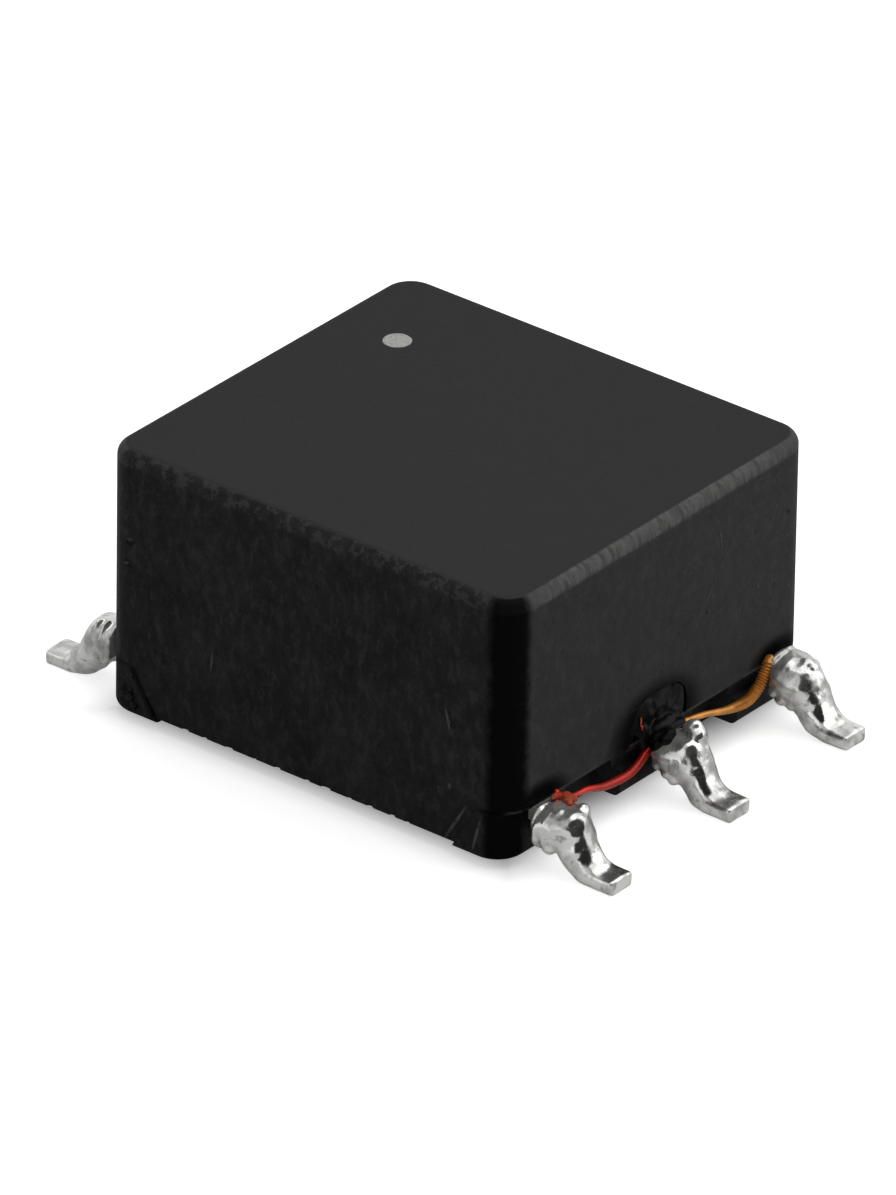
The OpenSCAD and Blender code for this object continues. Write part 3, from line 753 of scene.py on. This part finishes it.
# How each terminal's solder set: beads on the skin as (out, across, up, radii), and where they aren't the
# usual ones the barrel's height against its width and how far its middle lies above the stub's
SOLDER_FORMS = {
    1: {"beads": [(3.72, -0.24, 0.76, (0.12, 0.15, 0.24)), (3.96, 0.18, 0.82, (0.16, 0.15, 0.18)),
                  (3.72, 0.25, 0.50, (0.11, 0.11, 0.11)), (4.02, -0.14, 0.86, (0.12, 0.13, 0.12))]},
    2: {"beads": [(3.74, 0.10, 0.92, (0.12, 0.16, 0.12)), (3.90, -0.24, 0.62, (0.14, 0.14, 0.18)),
                  (3.80, 0.24, 0.54, (0.11, 0.11, 0.11))]},
    3: {"beads": [(3.68, 0.12, 0.72, (0.080, 0.28, 0.29)), (3.83, 0.12, 0.72, (0.070, 0.28, 0.31)),
                  (3.97, 0.08, 0.72, (0.070, 0.28, 0.28)), (4.10, 0.05, 0.66, (0.09, 0.25, 0.22)),
                  (3.76, 0.30, 0.52, (0.10, 0.09, 0.10))],
        "tall": 0.74},
    4: {"beads": [(3.60, -0.06, 0.70, (0.09, 0.26, 0.20)), (3.665, -0.10, 0.57, (0.075, 0.28, 0.30)),
                  (3.80, -0.10, 0.58, (0.062, 0.285, 0.32)), (3.925, -0.06, 0.62, (0.070, 0.27, 0.30)),
                  (4.06, 0.17, 0.80, (0.11, 0.13, 0.15)), (4.01, -0.12, 0.74, (0.11, 0.14, 0.17)),
                  (3.84, -0.22, 0.40, (0.11, 0.12, 0.11)), (4.08, -0.22, 0.46, (0.06, 0.06, 0.08))],
        "tall": 0.76, "rise": -0.14},
    5: {"beads": [(3.95, 0.14, 0.92, (0.16, 0.14, 0.21)), (4.04, 0.12, 0.86, (0.16, 0.16, 0.22)),
                  (4.13, 0.12, 0.68, (0.12, 0.13, 0.17)), (3.69, -0.23, 0.50, (0.10, 0.11, 0.11)),
                  (3.80, -0.25, 0.58, (0.08, 0.09, 0.10)), (3.84, -0.26, 0.42, (0.10, 0.10, 0.10)),
                  (3.95, -0.23, 0.36, (0.10, 0.10, 0.10)), (3.72, 0.22, 0.62, (0.14, 0.13, 0.18))],
        "tall": 0.68, "rise": -0.10},
    6: {"beads": [(3.63, -0.02, 0.91, (0.085, 0.27, 0.13)), (3.70, -0.22, 0.78, (0.10, 0.13, 0.14)),
                  (3.84, -0.17, 0.90, (0.085, 0.12, 0.10)), (4.00, 0.06, 0.86, (0.17, 0.20, 0.15)),
                  (4.06, -0.08, 0.76, (0.13, 0.13, 0.16)), (3.70, -0.26, 0.56, (0.10, 0.10, 0.10)),
                  (3.82, -0.26, 0.45, (0.10, 0.10, 0.10)), (3.92, -0.24, 0.60, (0.08, 0.09, 0.09)),
                  (3.97, -0.24, 0.42, (0.10, 0.09, 0.10))],
        "tall": 0.82, "rise": -0.05},
}

# Lumps in the solder's skin: waves a millimetre of the coarse and the fine ones, height of the fine against
# the coarse, the stretches over which they rise beyond the wall and die down on the foot, and how much
COARSE, FINE, FINE_SHARE = 3.6, 7.5, 0.34
RISE_FROM, RISE_L = 0.02, 0.12
CALM_FROM, CALM_L, CALM_SHARE = 4.25, 0.3, 0.75

# Grain and rounds of smoothing with which solder, varnish and insulation run together
SOLDER_MELT, VARNISH_MELT, TUFT_MELT = (0.017, 7), (0.016, 4), (0.012, 2)


class TRANSFORMER_OT_terminals(bpy.types.Operator):
    """Solders the six strip terminals: lumpy barrels over the wraps, tinned legs and feet"""
    bl_idname = "transformer.terminals"
    bl_label = "Soldered Terminals"

    def execute(self, context):
        look = settings().terminals
        tin = solder_finish(look)
        for i, (side, row) in TERMINALS.items():
            form = SOLDER_FORMS[i]
            parts = [solder_skin(look, form)]
            parts += [lump(bead[:3], bead[3], 11.3 * i + k) for k, bead in enumerate(form["beads"])]
            solid = joined(*parts)
            solid.data.transform(Matrix.Translation((0, side * row * PITCH, 0)))
            if side < 0:
                turned_over(solid)
            solid = melted((solid, merged_copy(f"terminal_{i}")), *SOLDER_MELT)
            self.roughen(solid, look.lumps / MM, Vector((4.7 * i, 1.9 * i, 0)))
            smoothed(solid, 60)
            finish_piece(solid, f"soldered_terminal_{i}", "solder", tin, f"terminal_{i}", f"solder_{i}")
        return {"FINISHED"}

    def roughen(self, solid, height, drift):
        """Raises lumps of a height in the skin, and keeps it on the floor and inside the terminals' span."""
        solid.data.update()
        moves = []
        for v in solid.data.vertices:
            out = abs(v.co.x)
            swell = ramp(out - WALL_X - RISE_FROM, RISE_L)
            swell *= 1.0 - CALM_SHARE * ramp(out - CALM_FROM, CALM_L)
            n = noise.noise(v.co * COARSE + drift) + FINE_SHARE * noise.noise(v.co * FINE + drift)
            moves.append(v.normal * n * height * swell)
        for v, move in zip(solid.data.vertices, moves):
            v.co += move
            v.co.z = max(v.co.z, 0.0)
            v.co.x = max(-ALL_HIGH[0], min(ALL_HIGH[0], v.co.x))


# ---------- windings ----------

# Bunched insulation on an outer terminal and a thread of it beside the slot: place and radii of each lump
TUFTS = [((3.82, -2.34, 0.93), (0.09, 0.09, 0.055)), ((3.73, -2.30, 0.93), (0.07, 0.07, 0.055)),
         ((3.88, -2.42, 0.92), (0.06, 0.06, 0.045)), ((3.63, -2.38, 0.925), (0.055, 0.10, 0.045)),
         ((3.505, -0.41, 1.13), (0.012, 0.020, 0.075)), ((3.508, -0.385, 1.03), (0.012, 0.016, 0.06))]

# Varnish in and below a slot: place and radii of each lump
VARNISH = [((3.33, -0.28, 1.14), (0.16, 0.34, 0.34)), ((3.34, 0.20, 1.14), (0.15, 0.40, 0.34)),
           ((3.38, 0.42, 1.12), (0.12, 0.24, 0.33)), ((3.36, 0.00, 1.20), (0.12, 0.44, 0.30)),
           ((3.34, 0.40, 0.96), (0.14, 0.22, 0.18)), ((3.46, -0.31, 0.86), (0.10, 0.13, 0.20)),
           ((3.48, 0.31, 0.88), (0.10, 0.13, 0.18)), ((3.52, 0.00, 0.94), (0.11, 0.28, 0.10)),
           ((3.40, 0.00, 0.88), (0.14, 0.46, 0.14)), ((3.64, -0.12, 0.90), (0.12, 0.20, 0.08)),
           ((3.74, -0.12, 0.88), (0.13, 0.18, 0.11)), ((3.68, -0.26, 0.74), (0.11, 0.11, 0.14)),
           ((3.60, 0.18, 0.88), (0.10, 0.20, 0.07)), ((3.46, -0.56, 0.82), (0.06, 0.20, 0.06)),
           ((3.46, 0.56, 0.82), (0.06, 0.20, 0.06))]


# How the leads to the two outer terminals hang under the end wall: share of the way from the slot to the
# terminal, and depth below the wall's end
SAG_A = [(0.96, 0.06), (0.81, 0.15), (0.67, 0.19), (0.51, 0.30), (0.34, 0.36), (0.18, 0.37), (0.07, 0.30),
         (0, 0.22), (-0.07, 0.14)]
SAG_B = [(0.93, 0.18), (0.81, 0.33), (0.67, 0.33), (0.53, 0.28), (0.34, 0.17), (0.15, 0.10), (0.02, 0.06)]
PASS_IN, RISE_IN = 0.14, 0.36  # how far in a lead is when it passes under the end wall and when it turns up
BURIED = 0.2  # how far out a lead ends in the middle terminal's solder


def wire_shapes(wire_d):
    """Middle lines of the two half windings on the right, wound as their solids are, for a wire of diameter
    wire_d in millimetres. Each starts and ends inside the solder."""
    r = wire_d / 2
    lay = r + WIRE_GAP
    wrap_x, wrap_pitch = WALL_X + lay, 1.06 * wire_d
    core_z, core_top = CORE_LOW[2], CORE_HIGH[2]
    cavity_x = 2 * (WALL_X - END_WALL)
    run_y, tap_y = LEAD_W / 2 + lay + WIRE_GAP, 0.12 * SLOT_W
    return_r = CORE_OD / 2 - 2 * CORE_EDGE
    block_x = WALL_X - BLOCK_STEP

    def corner(hx, hy, rr, k):
        """Point k on a rectangle of half sizes hx and hy with rounded corners."""
        c, a = (k // 3) % 4, radians(90 * ((k // 3) % 4) + 45 * (k % 3))
        return (hx if c in (0, 3) else -hx) + rr * cos(a), (hy if c < 2 else -hy) + rr * sin(a)

    def over_stub(side):
        """From inside the solder over the edge of the outer terminal's stub."""
        points = [(wrap_x + 2 * wrap_pitch, side * PITCH, STUB_Z)]
        for k in (2, 1):
            a, b = corner(LEAD_W / 2, LEAD_T / 2, lay, k)
            points.append((wrap_x + wrap_pitch * (k - 1) / TURN_POINTS, side * PITCH - side * a, STUB_Z + b))
        return points

    def lead_in(side, sag):
        """Along the end wall, under it beside the slot, and up to the ring."""
        far = PITCH - LEAD_W / 2 - lay - run_y
        return [(wrap_x - r * (1 - s), side * (run_y + s * far), PARTING_Z - drop) for s, drop in sag] + [
            (WALL_X - PASS_IN, side * 0.45 * run_y, PARTING_Z - wire_d),
            (WALL_X - RISE_IN, side * run_y, PARTING_Z + wire_d),
            (cavity_x / 2, side * run_y, PARTING_Z + 3 * wire_d),
            ((cavity_x + CORE_OD) / 4 + wire_d, side * 1.08 * run_y, core_z + wire_d)]

    def coil(side):
        """Round the ring's section and on along the ring."""
        hr, hz = (CORE_OD - CORE_ID) / 4 - CORE_EDGE, (core_top - core_z) / 2 - CORE_EDGE
        points = []
        for k in range(TURN_POINTS * TURNS - 1):
            a, b = corner(hr, hz, CORE_EDGE + lay, k + TURN_POINTS - 1)
            turn = radians(COIL_START + (COIL_END - COIL_START) * k / (TURN_POINTS * TURNS))
            rr = (CORE_OD + CORE_ID) / 4 + a
            points.append((rr * cos(turn), side * rr * sin(turn), (core_top + core_z) / 2 + b))
        return points

    def lead_out(side):
        """Back below the ring, out through the slot and into the middle terminal's solder."""
        back = [(return_r * cos(radians(a)), side * return_r * sin(radians(a)), COIL_FLOOR - lay)
                for a in range(COIL_END - 2, COIL_START + 5, -12)]
        return back + [(cavity_x / 2 - 2 * wire_d, side * (tap_y + wire_d), COIL_FLOOR + r),
                       (cavity_x / 2 + wire_d, side * tap_y, PARTING_Z + lay),
                       (block_x - 2 * wire_d, side * tap_y, PARTING_Z),
                       (WALL_X + BURIED, 0, STUB_Z)]

    return [eased(over_stub(side) + lead_in(side, sag), 2) + coil(side) + eased(lead_out(side), 2)
            for side, sag in ((-1, SAG_A), (1, SAG_B))]


def eased(points, n):
    """A smooth curve through the points, with n steps between neighbours."""
    p = [Vector(q) for q in points]
    out = []
    for i in range(len(p) - 1):
        a, b, c, d = p[max(i - 1, 0)], p[i], p[i + 1], p[min(i + 2, len(p) - 1)]
        for k in range(n):
            t = k / n
            bend = (2 * a - 5 * b + 4 * c - d) + t * (3 * b - a - 3 * c + d)
            out.append(b + (t / 2) * ((c - a) + t * bend))
    return out + [p[-1]]


def respaced(points, step):
    """The same line with points every step along it."""
    out, left = [points[0]], step
    for a, b in zip(points, points[1:]):
        gap = (b - a).length
        while gap >= left:
            a = a + (b - a) * (left / gap)
            gap = (b - a).length
            out.append(a)
            left = step
        left -= gap
    return out + [points[-1]]


def drawn_wire(line, widths, radius, sides):
    """Round wire drawn along a line of points, each with its share of the radius, made a mesh."""
    put_down()
    curve = bpy.data.curves.new("wire", "CURVE")
    curve.dimensions = "3D"
    curve.bevel_depth = radius
    curve.bevel_resolution = max(0, sides // 2 - 2)
    curve.use_fill_caps = True
    curve.twist_mode = "MINIMUM"
    spline = curve.splines.new("POLY")
    spline.points.add(len(line) - 1)
    for point, place, width in zip(spline.points, line, widths):
        point.co = (*place, 1)
        point.radius = width
    obj = bpy.data.objects.new("wire", curve)
    bpy.context.scene.collection.objects.link(obj)
    take_up(obj)
    bpy.ops.object.convert(target="MESH")
    return bpy.context.object


FINE_STEP = 0.0105  # between points where a lead shows; thrice that elsewhere
SHOWN_X = WALL_X - 0.03  # a lead shows outside this, and between these distances from the middle
SHOWN_Y = (0.25, PITCH - 0.1)
SWELL_FROM, SWELL_L = 1.0, 1.05  # where a lead's width changes from the slot's to the terminal's


def served(line, rib, rib_depth, inner, outer):
    """Points along a winding, close together where the lead shows outside the end wall, with its ribs,
    and its width by the slot (inner) and by its terminal (outer) against the wire's."""
    points, widths = [], []
    for k, p in enumerate(respaced(line, FINE_STEP)):
        outside, along = p.x > SHOWN_X, ramp(abs(p.y) - SWELL_FROM, SWELL_L)
        if outside and SHOWN_Y[0] < abs(p.y) < SHOWN_Y[1]:
            ribs = 1 + rib_depth * cos(2 * pi * k * FINE_STEP / rib) * (0.6 + 0.4 * along)
            points.append(p)
            widths.append(ribs * (inner + (outer - inner) * along * along * (3 - 2 * along)))
        elif k % 3 == 0:
            points.append(p)
            widths.append(inner if outside and abs(p.y) < SWELL_FROM else 1.0)
    return points, widths


WIRE_SIDES = 10


class TRANSFORMER_OT_windings(bpy.types.Operator):
    """Winds the four enamelled half windings on the ring and leads them to the terminals"""
    bl_idname = "transformer.windings"
    bl_label = "Enamelled Windings"

    def execute(self, context):
        look = settings().wires
        d = look.diameter / MM
        line_a, line_b = (eased(p, 3) for p in wire_shapes(d))
        plain = served(line_a, rib=0.055, rib_depth=0.05, inner=1.10, outer=0.62)
        ribbed = served(line_b, rib=look.rib / MM, rib_depth=0.13, inner=0.75, outer=1.45)
        finishes = {
            "secondary_winding_a": ("wire_red", "red_enamel", look.red, plain),
            "secondary_winding_b": ("wire_copper", "copper_enamel", look.copper, ribbed),
            "primary_winding_a": ("wire_brown", "brown_enamel", look.brown, plain),
            "primary_winding_b": ("wire_green", "green_enamel", look.green, ribbed),
        }
        for node, (slot, name, enamel, (line, widths)) in finishes.items():
            wire = drawn_wire(line, widths, d / 2, WIRE_SIDES)
            if node.startswith("primary"):
                turned_over(wire)
            smoothed(wire, 60)
            piece = node.replace("_winding", "") + "_wire"
            finish_piece(wire, piece, slot, enamel_finish(name, enamel), node)
        return {"FINISHED"}


class TRANSFORMER_OT_varnish(bpy.types.Operator):
    """Seals the leads in the two slots with a lumpy drop of black varnish"""
    bl_idname = "transformer.varnish"
    bl_label = "Slot Varnish"

    def execute(self, context):
        black = varnish_finish()
        for name in ("slot_varnish_right", "slot_varnish_left"):
            drop = melted(lumps(VARNISH, seed=5.3, rough=0.3), *VARNISH_MELT)
            if name.endswith("left"):
                turned_over(drop)
            smoothed(drop, 60)
            finish_piece(drop, name, "housing", black)
        return {"FINISHED"}


class TRANSFORMER_OT_insulation(bpy.types.Operator):
    """Bunches the loose insulation where two of the leads meet their terminals"""
    bl_idname = "transformer.insulation"
    bl_label = "Loose Insulation"

    def execute(self, context):
        look = settings().wires
        for name, slot, enamel in (("red_insulation", "wire_red", look.red),
                                   ("brown_insulation", "wire_brown", look.brown)):
            tuft = melted(lumps(TUFTS, seed=2.7, rough=0.55), *TUFT_MELT)
            if slot == "wire_brown":
                turned_over(tuft)
            smoothed(tuft, 60)
            finish_piece(tuft, name, slot, tuft_finish(name, enamel))
        return {"FINISHED"}


# ---------- stage ----------

# The camera: turn about the upright axis, rise and roll, distance from its target and shift of the aim
# across and up in the picture, all in millimetres
VIEW_TURN, VIEW_RISE, VIEW_ROLL = radians(38.289), radians(29.257), radians(0.94)
VIEW_DISTANCE = 227.683
VIEW_TARGET = Vector((0, 0, 2.0))
VIEW_OFFSET = (-0.112, -0.3436)
LENS = 510.12
SENSOR = 36.0

FLOOR_DROP = 0.002  # how far the floor lies below the feet

# Soft lights: place and size in millimetres, and strength as a white surface's
LIGHTS = {"top_light": ((10, 25, 75), 90, 1.25),
          "right_light": ((68, 62, 52), 70, 1.15),
          "left_light": ((-50, -80, 60), 50, 0.35)}

# What the solder mirrors: direction and darkness of the dark side, and the edges of its fade
DARK_WAY, DARK_SHARE, DARK_EDGE = (0.90, -0.28, 0.33), 0.97, (0.60, 0.84)
SKY_LIGHT = 0.30  # strength of the sky as a light


def soft_light(name, at, size, strength):
    """A square soft light turned to the part; strength is its brightness as a white surface's."""
    lamp = bpy.data.lights.new(name, "AREA")
    lamp.shape = "SQUARE"
    lamp.size = size * MM
    lamp.energy = strength * pi * (size * MM) ** 2 * settings().stage.light
    obj = bpy.data.objects.new(name, lamp)
    bpy.context.scene.collection.objects.link(obj)
    obj.location = Vector(at) * MM
    obj.rotation_euler = (VIEW_TARGET * MM - obj.location).to_track_quat("-Z", "Y").to_euler()


class TRANSFORMER_OT_stage(bpy.types.Operator):
    """Sets the floor, the soft studio light and the camera"""
    bl_idname = "transformer.stage"
    bl_label = "Stage"

    def execute(self, context):
        look = settings().stage
        put_down()
        self.camera(context.scene)
        bpy.ops.mesh.primitive_plane_add(size=look.floor_w, location=(0, 0, -FLOOR_DROP * MM))
        floor_plane = settle(context.object)
        floor_plane.name = "floor"
        floor_plane.data.materials.append(self.floor_finish(look.floor))
        for name, (at, size, strength) in LIGHTS.items():
            soft_light(name, at, size, strength)
        self.sky(context.scene)
        context.scene.view_settings.view_transform = "Standard"
        return {"FINISHED"}

    def camera(self, scene):
        """A long lens far off, turned and raised about the middle of the part."""
        back = Vector((sin(VIEW_TURN) * cos(VIEW_RISE), -cos(VIEW_TURN) * cos(VIEW_RISE), sin(VIEW_RISE)))
        right = Vector((cos(VIEW_TURN), sin(VIEW_TURN), 0))
        up = back.cross(right)
        x = right * cos(VIEW_ROLL) + up * sin(VIEW_ROLL)
        y = -right * sin(VIEW_ROLL) + up * cos(VIEW_ROLL)
        place = VIEW_TARGET + back * VIEW_DISTANCE + x * VIEW_OFFSET[0] + y * VIEW_OFFSET[1]
        camera = bpy.data.cameras.new("camera")
        camera.sensor_width = SENSOR
        camera.lens = LENS
        camera.clip_start = 1 * MM
        camera.clip_end = 10.0
        holder = bpy.data.objects.new("camera", camera)
        scene.collection.objects.link(holder)
        holder.matrix_world = Matrix.Translation(place * MM) @ Matrix((x, y, back)).transposed().to_4x4()
        scene.camera = holder

    def floor_finish(self, tone):
        """Matt floor that keeps its shadow and shows as white for the eye, the white fading out near the body
        as a painted shadow.
        """
        r = Recipe("floor", Base_Color=tone, Roughness=0.9, Specular_IOR_Level=0.1)
        away = (abs(r.x) - WALL_X).most(abs(r.y) - SIDE_Y)
        eye = r.node("ShaderNodeLightPath", out="Is Camera Ray")
        # painted shadow: the white emission for the eye fades out from 0.45 mm outside the body's outline to
        # none 0.9 mm inside it
        strength = away.step(-0.9, 0.45) * (eye * 0.62 + r.seen() * 0.12)
        glow_with_painted_shadow = r.node("ShaderNodeEmission", {}, {"Color": (1, 1, 1), "Strength": strength})
        both = r.node("ShaderNodeAddShader", {}, {0: Socket(r, r.shader.outputs[0]), 1: glow_with_painted_shadow})
        r.feed(r.surface.inputs["Surface"], both)
        return r.material

    def sky(self, scene):
        """Grey as a light; in reflections white low down, greyer overhead, with a dark side."""
        scene.world = bpy.data.worlds.new("studio")
        g = Graph(scene.world)
        way = g.node("ShaderNodeTexCoord", out="Generated")
        x, y, z = g.split(way)
        dark = (x * DARK_WAY[0] + y * DARK_WAY[1] + z * DARK_WAY[2]).step(*DARK_EDGE) * DARK_SHARE
        shown = (1 - z.step(0.15, 0.9) * 0.45) * (1 - dark)
        eye = g.node("ShaderNodeLightPath", out="Is Camera Ray")
        bright = g.node("ShaderNodeBackground", {}, {"Color": (1, 1, 1), "Strength": shown.most(eye)})
        dim = g.node("ShaderNodeBackground", {}, {"Color": (1, 1, 1), "Strength": SKY_LIGHT})
        out = g.tree.nodes.new("ShaderNodeOutputWorld")
        g.feed(out.inputs["Surface"], g.node("ShaderNodeMixShader", {}, {0: g.seen(), 1: dim, 2: bright}))


# ---------- add-on ----------

STEPS = ("housing", "core", "terminals", "windings", "insulation", "varnish", "stage")


class TRANSFORMER_PT_panel(bpy.types.Panel):
    """Lists the pieces in the order that they are made"""
    bl_idname = "TRANSFORMER_PT_panel"
    bl_label = "Board Transformer"
    bl_space_type = "VIEW_3D"
    bl_region_type = "UI"
    bl_category = "Transformer"

    def draw(self, context):
        for step in STEPS:
            self.layout.operator("transformer." + step)
        for group in ("housing", "terminals", "wires", "core", "stage"):
            box = self.layout.box()
            box.label(text=group.title())
            look = getattr(context.scene.transformer, group)
            for name in look.bl_rna.properties.keys():
                if name not in ("rna_type", "name"):
                    box.prop(look, name)


CLASSES = (HousingSettings, TerminalSettings, WireSettings, CoreSettings, StageSettings, TransformerSettings,
           TRANSFORMER_OT_housing, TRANSFORMER_OT_core, TRANSFORMER_OT_terminals, TRANSFORMER_OT_windings,
           TRANSFORMER_OT_insulation, TRANSFORMER_OT_varnish, TRANSFORMER_OT_stage, TRANSFORMER_PT_panel)


def register():
    for c in CLASSES:
        bpy.utils.register_class(c)
    bpy.types.Scene.transformer = PointerProperty(type=TransformerSettings)


def unregister():
    del bpy.types.Scene.transformer
    for c in reversed(CLASSES):
        bpy.utils.unregister_class(c)


def main():
    register()
    for step in STEPS:
        getattr(bpy.ops.transformer, step)()


if __name__ == "__main__":
    main()
